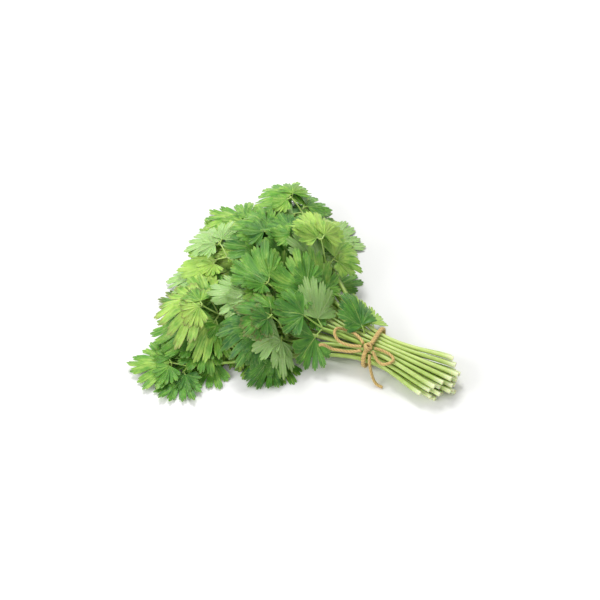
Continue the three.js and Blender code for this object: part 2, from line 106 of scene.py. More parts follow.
# Jute twine, laid from three strands and a little hairy. It goes twice round the bundle near its
# base, and is knotted on top near the front edge, in a bow with two loops and two cut ends.
TWINE_RADIUS = 1.2
TWINE_STRANDS = 3
STRAND_TURN = 8.5  # the length of twine in which a strand goes round once
STRAND_RELIEF = 0.15  # how deep the grooves between the strands are, as a share of the radius
TWINE_SIDES = 24
TWINE_STEP = 0.45
HAIR_SIDES = 3
HAIR_RADIUS = 0.045
HAIR_POINTS = 5
HAIRS_PER_MM = 1.6


def grid_faces(rows, columns, closed):
    """The quads of a grid numbered row by row, and the row and column of each of their corners.

    A closed grid goes on from its last column to its first. The corners run so that a grid whose
    columns go anticlockwise, seen against the direction of its rows, faces outwards.
    """
    last = columns if closed else columns - 1
    row, column = (i.ravel() for i in np.meshgrid(np.arange(rows - 1), np.arange(last), indexing="ij"))
    places = np.stack([
        np.stack([row, column], 1), np.stack([row, column + 1], 1),
        np.stack([row + 1, column + 1], 1), np.stack([row + 1, column], 1),
    ], 1)
    return places[..., 0] * columns + places[..., 1] % columns, places


class Shape:
    """Points with faces: the faces' corners in one row, the number of each one's, and what each carries.

    uv is a pair for each corner of a face, slot the material of each face, and marks one value for
    each point.
    """

    def __init__(self, points, corners, uv, slot=0, **marks):
        self.points = np.asarray(points, float).reshape(-1, 3)
        self.sizes = np.full(len(corners), corners.shape[1])
        self.corners = corners.ravel()
        self.uv = np.asarray(uv, float).reshape(-1, 2)
        self.slots = np.full(len(corners), slot)
        count = len(self.points)
        self.marks = {name: np.broadcast_to(value, count).astype(float) for name, value in marks.items()}

    def add(self, other):
        """This shape with another one, as one shape."""
        self.corners = np.concatenate([self.corners, other.corners + len(self.points)])
        self.marks = {
            name: np.concatenate([
                part.marks.get(name, np.zeros(len(part.points))) for part in (self, other)
            ])
            for name in sorted(set(self.marks) | set(other.marks))
        }
        self.points = np.concatenate([self.points, other.points])
        self.sizes = np.concatenate([self.sizes, other.sizes])
        self.uv = np.concatenate([self.uv, other.uv])
        self.slots = np.concatenate([self.slots, other.slots])
        return self


def cap(ring, uv_row, flip, slot=0, **marks):
    """A flat end on a closed ring of points, as a fan round its middle."""
    n = len(ring)
    points = np.concatenate([ring, ring.mean(axis=0, keepdims=True)])
    near, far = np.arange(n), (np.arange(n) + 1) % n
    corners = np.stack([far, near, np.full(n, n)] if flip else [near, far, np.full(n, n)], 1)
    uv = np.zeros((n, 3, 2))
    uv[..., 0] = uv_row
    uv[..., 1] = corners / n
    return Shape(points, corners, uv, slot, **marks)


def directions(path, reference):
    """At each point of a path: the way along it, a side square to it and a reference, and the third."""
    along = np.gradient(path, axis=0)
    along /= np.linalg.norm(along, axis=1, keepdims=True)
    side = np.cross(reference, along)
    side /= np.linalg.norm(side, axis=1, keepdims=True)
    return along, side, np.cross(along, side)


def tube(path, radius, sides, reference=(0, 0, 1), slot=0, **marks):
    """A tube: at each point of the path, a ring at radius(angle) from it, in the plane square to the path.

    radius is one row for each point of the path and one column for each side, or anything that
    spreads to that. The uv runs along the tube in millimetres and once round it.
    """
    path = np.asarray(path, float)
    along, side, third = directions(path, np.asarray(reference, float))
    angle = np.arange(sides) / sides * 2 * np.pi
    radius = np.broadcast_to(radius, (len(path), sides))
    out = np.cos(angle)[None, :, None] * side[:, None, :] + np.sin(angle)[None, :, None] * third[:, None, :]
    points = path[:, None, :] + radius[..., None] * out
    corners, places = grid_faces(len(path), sides, closed=True)
    length = np.concatenate([[0], np.cumsum(np.linalg.norm(np.diff(path, axis=0), axis=1))])
    uv = np.stack([length[places[..., 0]], places[..., 1] / sides], -1)
    spread = {name: np.repeat(np.broadcast_to(value, len(path)), sides) for name, value in marks.items()}
    first, last = (
        {name: np.broadcast_to(value, len(path))[end] for name, value in marks.items()} for end in (0, -1)
    )
    made = Shape(points, corners, uv, slot, **spread).add(cap(points[0], 0, True, slot, **first))
    return made.add(cap(points[-1], length[-1], False, slot, **last))


def smooth_path(points, step):
    """A curve through given points, at even steps.

    Between two points it is a cubic whose slope at each is the way from its last neighbour to its next.
    """
    points = np.asarray(points, float)
    knots = np.concatenate([[0], np.cumsum(np.linalg.norm(np.diff(points, axis=0), axis=1))])
    slopes = np.gradient(points, knots, axis=0)
    at = np.linspace(0, knots[-1], max(int(round(knots[-1] / step)), 2) + 1)
    k = np.clip(np.searchsorted(knots, at, side="right") - 1, 0, len(points) - 2)
    width = (knots[k + 1] - knots[k])[:, None]
    t = (at - knots[k])[:, None] / width
    return (
        (2 * t**3 - 3 * t**2 + 1) * points[k] + (t**3 - 2 * t**2 + t) * width * slopes[k]
        + (3 * t**2 - 2 * t**3) * points[k + 1] + (t**3 - t**2) * width * slopes[k + 1]
    )


def laid_twine(path, reference=(0, 0, 1)):
    """Twine along a path: the outline of its section is three soft bulges, turning as it goes along."""
    length = np.concatenate([[0], np.cumsum(np.linalg.norm(np.diff(path, axis=0), axis=1))])
    angle = np.arange(TWINE_SIDES) / TWINE_SIDES * 2 * np.pi
    bulge = np.abs(np.cos(TWINE_STRANDS / 2 * (angle[None, :] - length[:, None] / STRAND_TURN * 2 * np.pi)))
    radius = TWINE_RADIUS * (1 - STRAND_RELIEF * (1 - bulge) ** 1.5)
    return tube(path, radius, TWINE_SIDES, reference)


def hairs_of_twine(path, seed, reference=(0, 0, 1)):
    """Loose fibres: each is a thin spike that leaves the twine nearly along it and bends away from it."""
    draw = np.random.default_rng(seed)
    length = np.concatenate([[0], np.cumsum(np.linalg.norm(np.diff(path, axis=0), axis=1))])
    along, side, third = directions(path, np.asarray(reference, float))
    count = int(length[-1] * HAIRS_PER_MM)
    at = draw.integers(2, len(path) - 2, count)
    turn = draw.uniform(0, 2 * np.pi, count)
    out = np.cos(turn)[:, None] * side[at] + np.sin(turn)[:, None] * third[at]
    across = np.cross(along[at], out)
    way = along[at] * draw.choice([-1, 1], count)[:, None] + 0.5 * draw.normal(size=(count, 1)) * across
    t = np.linspace(0, 1, HAIR_POINTS)[None, :, None]
    reach = draw.uniform(1.0, 3.2, count)[:, None, None]
    lift = draw.uniform(0.1, 0.75, count)[:, None, None]
    root = path[at] + 0.85 * TWINE_RADIUS * out
    hairs = root[:, None, :] + reach * (t * way[:, None, :] + lift * t**1.4 * out[:, None, :])
    thickness = HAIR_RADIUS * (1 - 0.8 * t)
    ring = np.arange(HAIR_SIDES) / HAIR_SIDES * 2 * np.pi
    round_it = np.cos(ring)[:, None] * out[:, None, :] + np.sin(ring)[:, None] * across[:, None, :]
    points = hairs[:, :, None, :] + thickness[..., None] * round_it[:, None, :, :]
    points[..., 2] = np.maximum(points[..., 2], HAIR_RADIUS)
    one, places = grid_faces(HAIR_POINTS, HAIR_SIDES, closed=True)
    corners = (one[None] + np.arange(count)[:, None, None] * HAIR_POINTS * HAIR_SIDES).reshape(-1, 4)
    uv = np.stack([
        length[at][:, None, None] + places[None, ..., 0],
        np.broadcast_to(turn[:, None, None], (count, *places.shape[:2])),
    ], -1)
    return Shape(points, corners, uv)


def mesh_piece(name, shape, materials, slot, *nodes):
    """A piece with this shape in place of these solids, on the body root, in these materials. The slot is not
    used.
    """
    mesh = bpy.data.meshes.new(name)
    mesh.vertices.add(len(shape.points))
    mesh.vertices.foreach_set("co", in_frame(shape.points).astype(np.float32).ravel())
    mesh.loops.add(len(shape.corners))
    mesh.loops.foreach_set("vertex_index", shape.corners.astype(np.int32))
    mesh.polygons.add(len(shape.sizes))
    starts = np.concatenate([[0], np.cumsum(shape.sizes)[:-1]])
    mesh.polygons.foreach_set("loop_start", starts.astype(np.int32))
    mesh.polygons.foreach_set("loop_total", shape.sizes.astype(np.int32))
    mesh.polygons.foreach_set("use_smooth", np.ones(len(shape.sizes), bool))
    for material in materials:
        mesh.materials.append(material)
    mesh.polygons.foreach_set("material_index", shape.slots.astype(np.int32))
    uv = mesh.uv_layers.new(name="surface")
    uv.uv.foreach_set("vector", shape.uv.astype(np.float32).ravel())
    for mark, values in shape.marks.items():
        mesh.attributes.new(mark, "FLOAT", "POINT").data.foreach_set("value", values.astype(np.float32))
    mesh.update(calc_edges=True)
    if "rim" in shape.marks:
        ends = np.empty(2 * len(mesh.edges), np.int32)
        mesh.edges.foreach_get("vertices", ends)
        rim = shape.marks["rim"][ends.reshape(-1, 2)]
        sharp = (rim[:, 0] > 0.5) & (rim[:, 0] == rim[:, 1])
        mesh.attributes.new("sharp_edge", "BOOLEAN", "EDGE").data.foreach_set("value", sharp)
    mesh.validate()
    piece = bpy.data.objects.new(name, mesh)
    bpy.context.collection.objects.link(piece)
    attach(piece, "root")
    if nodes:
        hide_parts(*nodes)
    return piece


def new_material(name):
    """A bare material, its node tree and its Principled shader."""
    material = bpy.data.materials.new(name)
    material.use_nodes = True
    tree = material.node_tree
    shader = tree.nodes["Principled BSDF"]
    return material, tree, shader


def add_node(tree, kind, inputs=(), **settings):
    """A shader node with its settings, and its inputs as values or as another node's outputs."""
    node = tree.nodes.new(kind)
    for name, value in settings.items():
        setattr(node, name, value)
    for name, value in dict(inputs).items():
        if isinstance(value, bpy.types.NodeSocket):
            tree.links.new(value, node.inputs[name])
        else:
            node.inputs[name].default_value = value
    return node


def sum_up(tree, operation, *values, clamp=False):
    """The output of one arithmetic node on these values."""
    node = add_node(tree, "ShaderNodeMath", enumerate(values), operation=operation, use_clamp=clamp)
    return node.outputs[0]


def blend_colours(tree, share, first, second):
    """The output of a mix of two colours."""
    node = add_node(tree, "ShaderNodeMix", {0: share, 6: first, 7: second}, data_type="RGBA")
    return node.outputs[2]


def colour(red, green, blue):
    """A colour as seen on a screen, from 0 to 255, for a shader's socket."""
    seen = np.array([red, green, blue]) / 255
    linear = np.where(seen > 0.04045, ((seen + 0.055) / 1.055) ** 2.4, seen / 12.92)
    return (*linear.tolist(), 1.0)


def effect(name, inputs, outputs):
    """An empty node group with these sockets, its input node and its output node."""
    group = bpy.data.node_groups.new(name, "ShaderNodeTree")
    for way, sockets in (("INPUT", inputs), ("OUTPUT", outputs)):
        for socket, kind in sockets.items():
            group.interface.new_socket(socket, in_out=way, socket_type="NodeSocket" + kind)
    return group, group.nodes.new("NodeGroupInput"), group.nodes.new("NodeGroupOutput")


# Soft patches of lighter and darker surface with a fine grain in them, as all plant matter has. The
# jute, the leaves and the stems all use it, each at its own size.
patchy, patchy_in, patchy_out = effect(
    "patchy", {"Size": "Float", "Grain Size": "Float"}, {"Patches": "Float", "Grain": "Float"},
)
patchy_place = add_node(patchy, "ShaderNodeTexCoord").outputs["Object"]
for output, size in (("Patches", "Size"), ("Grain", "Grain Size")):
    scale = sum_up(patchy, "DIVIDE", 1.0, patchy_in.outputs[size])
    noise = add_node(patchy, "ShaderNodeTexNoise", {"Vector": patchy_place, "Scale": scale, "Detail": 3.0})
    patchy.links.new(noise.outputs["Fac"], patchy_out.inputs[output])


def patches(tree, size, grain):
    """The patchy effect in a material, with its sizes in metres."""
    node = tree.nodes.new("ShaderNodeGroup")
    node.node_tree = patchy
    node.inputs["Size"].default_value = size
    node.inputs["Grain Size"].default_value = grain
    return node.outputs["Patches"], node.outputs["Grain"]


# Jute's fibres run along its strands, from pale straw to brown, and it is quite dull. The grooves between its
# strands are darkened with painted shade.
jute, jute_tree, jute_shader = new_material("jute")
jute_uv = add_node(jute_tree, "ShaderNodeSeparateXYZ", {0: add_node(
    jute_tree, "ShaderNodeUVMap", uv_map="surface").outputs[0]})
jute_turn = sum_up(jute_tree, "SUBTRACT", jute_uv.outputs[1], sum_up(
    jute_tree, "DIVIDE", jute_uv.outputs[0], STRAND_TURN))
jute_fibre_place = add_node(jute_tree, "ShaderNodeCombineXYZ", {
    0: sum_up(jute_tree, "MULTIPLY", jute_uv.outputs[0], 0.35),
    1: sum_up(jute_tree, "COSINE", sum_up(jute_tree, "MULTIPLY", jute_turn, 2 * math.pi)),
    2: sum_up(jute_tree, "SINE", sum_up(jute_tree, "MULTIPLY", jute_turn, 2 * math.pi)),
})
jute_fibres = add_node(jute_tree, "ShaderNodeTexNoise", {
    "Vector": jute_fibre_place.outputs[0], "Scale": 6.0, "Detail": 4.0, "Roughness": 0.65}).outputs["Fac"]
jute_patches, jute_grain = patches(jute_tree, 0.006, 0.0006)
jute_groove = sum_up(jute_tree, "ABSOLUTE", sum_up(jute_tree, "COSINE", sum_up(
    jute_tree, "MULTIPLY", jute_turn, TWINE_STRANDS * math.pi)))
jute_light = sum_up(jute_tree, "MULTIPLY_ADD", jute_fibres, 1.7, -0.35, clamp=True)
jute_colour = blend_colours(jute_tree, jute_light, colour(150, 116, 58), colour(240, 212, 140))
jute_colour = blend_colours(
    jute_tree, sum_up(jute_tree, "MULTIPLY_ADD", jute_patches, 1.2, -0.4, clamp=True), jute_colour,
    colour(216, 180, 104))
# Painted shade: the grooves between the strands are darkened towards a deep brown.
painted_groove_shade = sum_up(jute_tree, "MULTIPLY_ADD", jute_groove, -2.2, 1.0, clamp=True)
jute_colour = blend_colours(
    jute_tree, sum_up(jute_tree, "MULTIPLY", painted_groove_shade, 0.75), jute_colour, colour(84, 54, 26))
jute_tree.links.new(jute_colour, jute_shader.inputs["Base Color"])
jute_shader.inputs["Roughness"].default_value = 0.88
jute_shader.inputs["Sheen Weight"].default_value = 0.2
jute_height = sum_up(jute_tree, "ADD", jute_fibres, sum_up(jute_tree, "MULTIPLY", jute_grain, 0.4))
jute_bump = add_node(jute_tree, "ShaderNodeBump", {
    "Height": jute_height, "Strength": 0.7, "Distance": 0.0003})
jute_tree.links.new(jute_bump.outputs[0], jute_shader.inputs["Normal"])

# The loose twine, from the knot outwards.
LOOSE_TWINE = {
    "twine_loop_left": [
        (-4.9, -8.6, 23.4), (-7.4, -6.4, 23.1), (-11, -4.2, 22.9), (-15, -2.6, 22.6), (-19, -1.8, 22.4),
        (-23, -2.4, 22.7), (-26.6, -4.2, 24.4), (-29, -7.2, 26.3), (-29, -10.8, 26.4), (-26.8, -13.6, 24.8),
        (-23.2, -14.8, 22.6), (-19.2, -14.9, 21.9), (-15.2, -14.4, 21.7), (-11.4, -13.6, 22),
        (-7.9, -12.6, 22.6), (-4.9, -11.7, 23.1),
    ],
    "twine_loop_right": [
        (4.9, -8.8, 23.2), (7.6, -7.8, 22.6), (11, -7.2, 22.1), (14.5, -7.1, 21.8), (18, -7.6, 21.6),
        (21, -8.9, 21.5), (22.7, -11.3, 21.4), (21.8, -14.2, 21.2), (19, -16.2, 19.8), (15.6, -16.8, 18.6),
        (12.4, -16.1, 18.8), (9.4, -14.8, 20.2), (6.9, -13.2, 21.8), (4.9, -11.9, 22.9),
    ],
    "twine_tail_left": [
        (-3.9, -14.4, 21.6), (-6.2, -15.3, 20.4), (-8.6, -16, 19.3), (-11, -16.7, 18.4), (-13.4, -17.4, 17.9),
        (-15.8, -18.1, 17.7), (-18.2, -18.8, 17.7), (-20.6, -19.5, 17.7), (-23, -20.2, 17.7),
        (-25.2, -20.9, 17.9), (-27.4, -21.7, 19), (-29.6, -22.6, 20.7), (-31.6, -23.6, 22.2),
        (-33.4, -24.8, 22.8), (-34.8, -26.2, 22.7),
    ],
    "twine_tail_right": [
        (4.1, -14.9, 21.4), (4.6, -16.4, 20.2), (5.3, -17.9, 18.6), (6.2, -19.3, 16.8), (7.2, -20.5, 14.9),
        (8.3, -21.5, 12.8), (9.3, -22.3, 10.7), (10.3, -22.9, 8.6), (11.3, -23.4, 6.6), (12.4, -23.8, 4.8),
        (13.7, -24.2, 3.2), (15.2, -24.5, 2), (16.9, -24.7, 1.4), (18.8, -24.8, 1.3), (20.6, -24.8, 1.3),
    ],
}
TWINE_SEEDS = {"twine_loop_left": 11, "twine_loop_right": 12, "twine_tail_left": 13, "twine_tail_right": 14}
for name, route in LOOSE_TWINE.items():
    path = smooth_path(route, TWINE_STEP)
    jute_name = name.replace("twine", "jute")
    piece = mesh_piece(jute_name, laid_twine(path), [jute], "twine", name)
    hairs = mesh_piece(jute_name + "_hairs", hairs_of_twine(path, TWINE_SEEDS[name]), [jute], "twine")

# The two turns round the bundle are one length of twine that starts and ends under the knot.
TURN_HALF_WIDTH = 17.2
TURN_HALF_HEIGHT = 10.35
TURN_SQUARENESS = 3
TURN_SPACING = 2.3
TURN_START = math.radians(118)
TIE_HEIGHT = 11.85
SMALL_TURN_RADIUS = 2.3


def turns_path(turns, points):
    """A squarish ellipse, |y / half width|^n + |z / half height|^n = 1, wound on along X as a helix."""
    angle = np.linspace(0, 2 * np.pi * turns, points) + TURN_START
    c, s = np.cos(angle), np.sin(angle)
    n = TURN_SQUARENESS
    radius = (np.abs(c / TURN_HALF_WIDTH) ** n + np.abs(s / TURN_HALF_HEIGHT) ** n) ** (-1 / n)
    x = TURN_SPACING * (np.linspace(0, 1, points) - 0.5)
    return np.stack([x, radius * c, TIE_HEIGHT + radius * s], 1)


def knot_path(tilt, swing, points):
    """A small ring of twine, tipped about X and then turned about Z, which ends where it starts."""
    angle = np.linspace(0, 2 * np.pi, points)
    ring = SMALL_TURN_RADIUS * np.stack([np.cos(angle), np.sin(angle), 0 * angle])
    tip = np.array(Matrix.Rotation(math.radians(tilt), 3, "X"))
    turn = np.array(Matrix.Rotation(math.radians(swing), 3, "Z"))
    return (turn @ tip @ ring).T + KNOT


turns = turns_path(2, 480)
tie_shape = laid_twine(turns, reference=(1, 0, 0)).add(hairs_of_twine(turns, 15, reference=(1, 0, 0)))
for tilt, swing, seed in ((35, 25, 16), (-35, -25, 17)):
    small_turn = knot_path(tilt, swing, 44)
    tie_shape.add(laid_twine(small_turn)).add(hairs_of_twine(small_turn, seed))
mesh_piece("jute_tie", tie_shape, [jute], "twine", "twine_tie")


# The leafy stems lie in rows inside the tie, fan out on the leafy side and are laid on each other in
# a pile. Each has a long ribbed stem and a crown with two lateral leaflets and a terminal one. Their
# layout is the solids' own.
STEM_PITCH = 3.9
ROW_RISE = 3.4
CUT_RADIUS, TIE_RADIUS, CROWN_RADIUS = 1.8, 1.6, 1.0
CUT_LENGTH = 72
EDGE_SHORTER = 20
CUT_FLARE = 0.62
CUT_RISE = 1.1
FAN_RATE = 0.061
FAN_LEAN = 0.13
FAN_START = 30
LEAFLET_LENGTH = {"terminal": 37, "lateral": 31}
RACHIS_LENGTH = 15
PETIOLULE_LENGTH = 9
LOW_STALK = 5
LOW_KEY = 40
SEED = 80
GOLDEN_SHARE, ROW_SHARE, LOOSE_SHARE = 0.618034, 0.37, 0.15
ROWS = [  # the count of stems, their nearest and farthest reach, the size of their leaflets and their loft
    (6, 64, 130, 1, 0), (7, 96, 146, 1, 0.4), (8, 106, 152, 1, 0.7), (7, 60, 142, 0.95, 1),
    (6, 24, 94, 0.8, 1.2),
]
MIDDLE_ROW = (len(ROWS) - 1) / 2
HALF_WIDTH = (max(row[0] for row in ROWS) - 1) / 2 * STEM_PITCH + TIE_RADIUS
CUT_HEIGHT = CUT_RISE * MIDDLE_ROW * ROW_RISE + CUT_RADIUS
STATIONS = np.array([0, 0.16, 0.34, 0.54, 0.77, 1])


def chance(stem, purpose):
    """A repeatable draw from 0 to 1 for one stem and one purpose: the solids' own small integer hash."""
    low = 0xFFFFFFFF
    h = ((stem + SEED) * 0x9E3779B1 ^ (purpose + 1) * 0x85EBCA6B) & low
    h = (h ^ h >> 16) * 0x85EBCA6B & low
    h = (h ^ h >> 13) * 0xC2B2AE35 & low
    return (h ^ h >> 16) / 2**32


def between(stem, purpose, lowest, highest):
    """A repeatable draw between two values."""
    return lowest + (highest - lowest) * chance(stem, purpose)


def lay_out():
    """The stems, row by row from the table up, in the solids' order and with the same places in the tie."""
    stems = []
    for r, (count, near, far, size, loft) in enumerate(ROWS):
        in_row = []
        for c in range(count):
            number = len(stems) + c
            share = (c * GOLDEN_SHARE + r * ROW_SHARE + LOOSE_SHARE * chance(number, 0)) % 1
            in_row.append({
                "id": number, "row": r, "place": c, "across": (c - (count - 1) / 2) * STEM_PITCH,
                "up": (r - MIDDLE_ROW) * ROW_RISE, "reach": near + (far - near) * share,
                "size": size, "loft": loft,
            })
        order = 1 if r < MIDDLE_ROW else -1
        stems += sorted(in_row, key=lambda stem: order * stem["reach"])
    return stems


def plan(stem, s):
    """Where a stem runs in plan on the leafy side, s away from the tie along the bunch."""
    s = np.asarray(s, float)
    fan = s * s / (s + FAN_START)
    return np.stack([-s, stem["across"] * (1 + FAN_RATE * fan) + FAN_LEAN * fan], -1)


def heading_at(stem, s):
    """The heading of a stem in plan, as an angle from +X."""
    ahead, behind = plan(stem, s + 1), plan(stem, s - 1)
    return math.atan2(ahead[1] - behind[1], ahead[0] - behind[0])


# A leaflet is a fan of three lobes with three teeth each, and each tooth has small round teeth of its
# own. Places on it are a share of the way out to its rim, and a tooth number: whole at a tooth's tip,
# a half in the cuts. The cuts are deeper than the solids' by DEEPER.
TOOTH_ANGLES = [0, 8, 16, 27, 38, 48, 58, 69, 80, 99]
TIP_SHARES = np.array([1, 0.92, 0.84, 0.88, 0.7])
CUT_SHARES = np.array([0.84, 0.52, 0.7, 0.62, 0.34])
SHALLOWER = np.array([0.1, 0.32, 0.14, 0.16, 0.12])
HEARTS = [(0, 0.56), (56, 0.46), (-56, 0.46)]
NECK_HALF_WIDTH = 0.8
SMALL_TEETH = 3
TOOTH_COLUMNS = np.array([0, 0.12, 0.37, 0.63, 0.88])
RIM_STEPS = np.array([0, 0.18, 0.38, 0.57, 0.75, 0.9, 1])
DEEPER = np.array([0.16, 0.22, 0.15, 0.17, 0])
LOBE_TEETH = 3
LIFT_CHANGES = [-1.9, -1.1, 1.1, 1.9]  # the tooth numbers where one lobe's lift turns into the next's
SHADY_LENGTH, SUNNY_LENGTH = 60, 60
BLADE = 0.4
CAD_BLADE = 0.9
ON_TABLE = 0.1
TEETH = 9
LAST_TOOTH = TEETH / 2
SMALL_TOOTH_POWER, SMALL_TOOTH_MIDDLE = 0.5, 0.7
tooth_starts = np.arange(TEETH * SMALL_TEETH)[:, None]
teeth = np.append((tooth_starts + TOOTH_COLUMNS).ravel() / SMALL_TEETH - LAST_TOOTH, LAST_TOOTH)


def rim_of_leaflet(leaflet):
    """How far the rim is from the base at each tooth number, as a share of the leaflet's length.

    Within a tooth it falls from the tip to the cut on that side as 1 - |2 x|^p, and each small tooth
    is an arch of |sin| to a low power, so that the cuts are sharp and the teeth round.
    """
    number = np.abs(teeth)
    tooth = np.minimum(np.round(number), 4).astype(int)
    cut_number = np.where(number >= tooth, tooth, tooth - 1)
    cut = (CUT_SHARES + leaflet["shallow"] * SHALLOWER - DEEPER)[cut_number]
    arch = 1 - np.abs(2 * (number - tooth)) ** leaflet["roundness"]
    small = np.abs(np.sin(SMALL_TEETH * np.pi * (teeth + 0.5))) ** SMALL_TOOTH_POWER
    small_arch = leaflet["small_teeth"] * (small - SMALL_TOOTH_MIDDLE)
    return cut + (TIP_SHARES[tooth] - cut) * arch + small_arch


def thin_plate(plan_points, heights, softness=2.0):
    """A thin plate near given heights: a + b x + c y + the sum of w r^2 log r over the given points."""
    def kernel(from_points, to_points):
        r2 = ((from_points[:, None, :] - to_points[None, :, :]) ** 2).sum(-1)
        return 0.5 * r2 * np.log(np.maximum(r2, 1e-9))

    n = len(plan_points)
    flat = np.concatenate([np.ones((n, 1)), plan_points], 1)
    system = np.zeros((n + 3, n + 3))
    system[:n, :n] = kernel(plan_points, plan_points) + softness * np.eye(n)
    system[:n, n:] = flat
    system[n:, :n] = flat.T
    weights = np.linalg.solve(system, np.concatenate([heights, np.zeros(3)]))
    return lambda at: kernel(at, plan_points) @ weights[:n] + weights[n] + at @ weights[n + 1:]


def on_leaflet(leaflet, along, across):
    """Distances along and across a leaflet, as places in plan."""
    c, s = math.cos(leaflet["heading"]), math.sin(leaflet["heading"])
    x, y = leaflet["base"]
    return np.stack([x + along * c - across * s, y + along * s + across * c], -1)


def solid_corners(leaflet):
    """The places in plan of the solid leaflet's corners: its neck, its rim and the hearts of its lobes."""
    cuts = CUT_SHARES + leaflet["shallow"] * SHALLOWER
    shares = np.stack([TIP_SHARES, cuts], 1).ravel()
    half = list(zip(TOOTH_ANGLES[1:], shares[1:]))
    places = np.array([(-a, s) for a, s in half] + [(0, 1)] + half + HEARTS, float)
    angle = np.radians(places[:, 0]) * leaflet["spread"]
    along = places[:, 1] * np.cos(angle) * leaflet["length"]
    across = places[:, 1] * np.sin(angle) * leaflet["width"] * leaflet["length"]
    neck = on_leaflet(leaflet, np.zeros(2), np.array([NECK_HALF_WIDTH, -NECK_HALF_WIDTH]))
    return np.concatenate([neck, on_leaflet(leaflet, along, across)])


def solid_heights(corners, at, reach, pick):
    """The height of a solid at places in plan: pick takes it from the solid's corners within a reach."""
    apart = np.linalg.norm(corners[None, :, :2] - at[:, None, :], axis=2)
    apart[np.arange(len(at)), apart.argmin(axis=1)] = 0
    return np.array([pick(corners[near, 2]) for near in apart <= reach])


def blade_shape(leaflet):
    """The blade: rays from the neck to the rim, laid on a thin plate through the solid's upper corners.

    It is pleated, low along the rib of each tooth and high between them, as the cosine of the tooth
    number. Ripples lift and lower the teeth by turns towards the rim. Each lobe is lifted by its own
    amount as the square of the distance from the neck, and cupped as the square of the place across
    the lobe. The lower face is the upper one, a blade's thickness further down, and both meet round
    the rim.
    """
    angle = np.radians(np.interp(np.abs(teeth), np.arange(len(TOOTH_ANGLES)) / 2, TOOTH_ANGLES))
    angle = angle * np.sign(teeth) * leaflet["spread"]
    rim = rim_of_leaflet(leaflet)
    share = RIM_STEPS[:, None]
    along = share * (rim * np.cos(angle))[None, :] * leaflet["length"]
    across = share * (rim * np.sin(angle))[None, :] * leaflet["width"] * leaflet["length"]
    across = across + (1 - share) * 0.5 * (teeth / LAST_TOOTH)[None, :]
    places = on_leaflet(leaflet, along, across)
    height = leaflet["height"](places.reshape(-1, 2)).reshape(along.shape) - (CAD_BLADE - BLADE) / 2
    ripple = share**2 * np.sin(2 * np.pi * (teeth * leaflet["ripple_rate"] + leaflet["ripple_start"]))
    pleat = -share * (1.3 - share) * np.cos(2 * np.pi * teeth)
    lobe_lift = np.interp(teeth, LIFT_CHANGES, np.take(leaflet["lifts"], [0, 1, 1, 2]))
    lift = (share * rim) ** 2 * lobe_lift
    in_lobe = (teeth - LOBE_TEETH * np.round(teeth / LOBE_TEETH)) / (LOBE_TEETH / 2)
    cup = leaflet["cup"] * (share * rim) * (in_lobe**2 - 0.3)
    height = height + leaflet["ripple"] * ripple + leaflet["pleat"] * pleat + lift + cup
    height = np.maximum(height, BLADE + ON_TABLE)
    rows, columns = along.shape
    upper = np.concatenate([places, height[..., None]], 2).reshape(-1, 3)
    lower = upper - [0, 0, BLADE]
    faces, grid = grid_faces(rows, columns, closed=False)
    number = np.arange(rows * columns).reshape(rows, columns)
    loop = np.concatenate([number[0, :-1], number[:-1, -1], number[-1, :0:-1], number[:0:-1, 0]])
    loop_next = np.roll(loop, -1)
    n = rows * columns
    edge = np.stack([loop, loop_next, loop_next + n, loop + n], 1)

    def uv_of(at):
        return np.stack([teeth[at[..., 1]] / TEETH + 0.5, RIM_STEPS[at[..., 0]]], -1)

    loop_places = np.stack([loop // columns, loop % columns], -1)
    next_places = np.stack([loop_next // columns, loop_next % columns], -1)
    edge_places = np.stack([loop_places, next_places, next_places, loop_places], 1)
    all_faces = np.concatenate([faces, faces[:, ::-1] + n, edge])
    uv = np.concatenate([uv_of(grid), uv_of(grid[:, ::-1]), uv_of(edge_places)])
    on_rim = np.zeros(n)
    on_rim[loop] = 1
    return Shape(
        np.concatenate([upper, lower]), all_faces, uv, 1,
        under=np.repeat([0.0, 1.0], n), tone=leaflet["tone"], pale=leaflet["pale"], dry=leaflet["dry"],
        rim=np.concatenate([on_rim, 2 * on_rim]),
    )


def stalk_shape(leaflet, crown, corners):
    """The leaflet's stalk: from the crown over the solid's knee to the neck, and on as the midrib.

    The midrib runs under the blade on the same thin plate, and gets thinner to nothing towards the tip.
    """
    neck = np.append(leaflet["base"], leaflet["neck_top"] - CAD_BLADE / 2)
    knee_plan = (crown[:2] + neck[:2]) / 2
    knee = np.append(knee_plan, solid_heights(corners, knee_plan[None], 1.1, np.mean)[0])
    t = np.linspace(0, 1, 11)[:-1, None]
    stalk = np.where(t < 0.5, crown + (knee - crown) * 2 * t, knee + (neck - knee) * (2 * t - 1))
    soft = stalk.copy()
    soft[1:-1] = (stalk[:-2] + 2 * stalk[1:-1] + stalk[2:]) / 4
    share = np.linspace(0, 0.72, 10)
    rib_plan = on_leaflet(leaflet, share * leaflet["length"], 0 * share)
    rib_height = leaflet["height"](rib_plan) - (CAD_BLADE + BLADE) / 2 - 0.1
    rib = np.concatenate([rib_plan, rib_height[:, None]], 1)
    path = np.concatenate([soft, rib])
    radius = np.concatenate([np.linspace(0.72, 0.55, len(soft)), np.linspace(0.5, 0.12, len(rib))])
    path[:, 2] = np.maximum(path[:, 2], radius + ON_TABLE)
    shade = np.concatenate([np.linspace(0.9, 1, len(soft)), np.ones(len(rib))])
    return tube(path, radius[:, None], 8, slot=0, along=shade, tone=leaflet["tone"])


